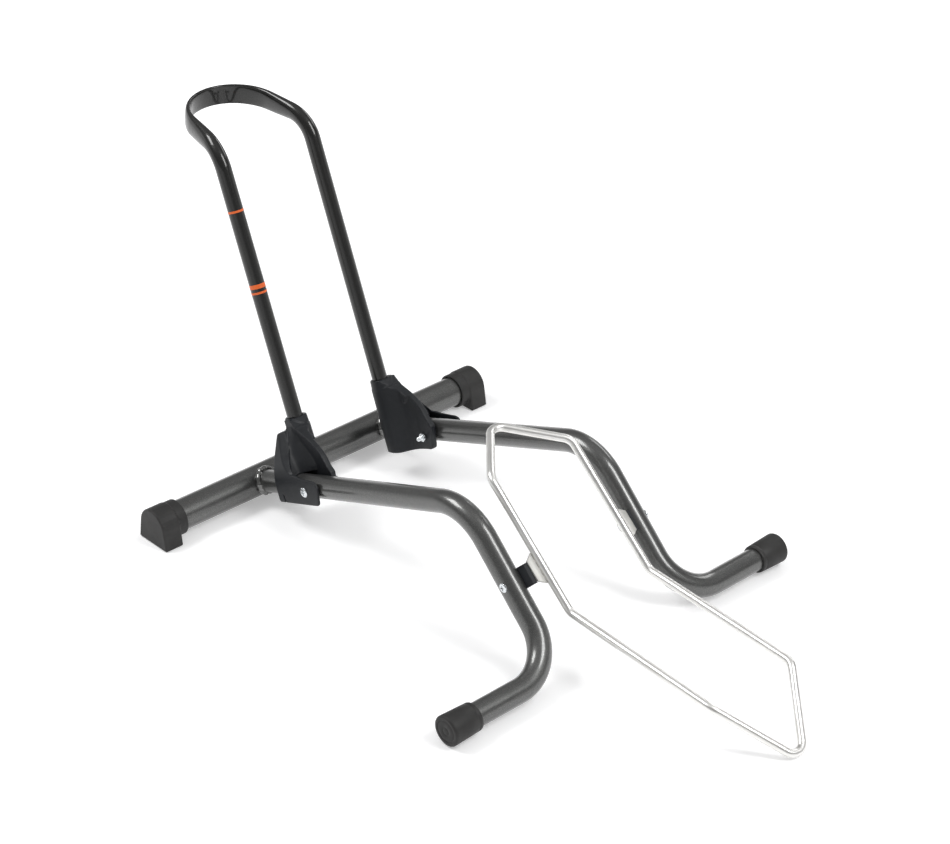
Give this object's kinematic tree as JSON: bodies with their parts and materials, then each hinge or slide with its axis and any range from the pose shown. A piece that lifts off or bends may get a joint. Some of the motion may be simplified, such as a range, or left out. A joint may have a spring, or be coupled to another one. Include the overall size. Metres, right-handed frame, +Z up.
{
  "type": "floor bike rack",
  "caption": "Floor bike rack: tube base with arched legs, a leaning wheel loop that folds down on plastic brackets, and a stainless wire hoop that rocks up to clamp the tyre.",
  "frame": {"origin": "on the floor, under the centre of the whole rack's box", "axes": "+X towards the wire hoop's front tip, along the parked wheel; +Y towards the left leg, along the crossbar; +Z up"},
  "size_m": [0.9908, 0.5236, 0.4501],
  "materials": {
    "frame_paint": "anthracite metallic gloss",
    "loop_paint": "near-black gloss",
    "bracket_plastic": "matte black",
    "rubber": "dark rubber",
    "stainless_wire": "bright satin stainless",
    "zinc_fasteners": "bright zinc"
  },
  "bodies": {
    "base": {"crossbar": "frame_paint", "end_foot_right": "rubber", "end_foot_left": "rubber", "leg_right": "frame_paint", "leg_left": "frame_paint", "floor_cap_right": "rubber", "floor_cap_left": "rubber", "bracket_screw_right": "zinc_fasteners", "bracket_nut_right": "zinc_fasteners", "bracket_screw_left": "zinc_fasteners", "bracket_nut_left": "zinc_fasteners", "pivot_spacer_right": "bracket_plastic", "pivot_screw_right": "zinc_fasteners", "pivot_nut_right": "zinc_fasteners", "pivot_spacer_left": "bracket_plastic", "pivot_screw_left": "zinc_fasteners", "pivot_nut_left": "zinc_fasteners"},
    "loop": {"loop_tube": "loop_paint", "bracket_right": "bracket_plastic", "bracket_left": "bracket_plastic"},
    "hoop": {"hoop_wire": "stainless_wire", "hoop_tab_right": "stainless_wire", "hoop_tab_left": "stainless_wire"}
  },
  "joints": [
    {"name": "loop_fold", "type": "hinge", "parent": "base", "child": "loop", "pos_m": [-0.18639, 0, 0.0634], "axis": [0, 1, 0], "range_deg": [0, 88]},
    {"name": "hoop_rock", "type": "hinge", "parent": "base", "child": "hoop", "pos_m": [0.15382, 0, 0.09557], "axis": [0, -1, 0], "range_deg": [0, 60]}
  ]
}
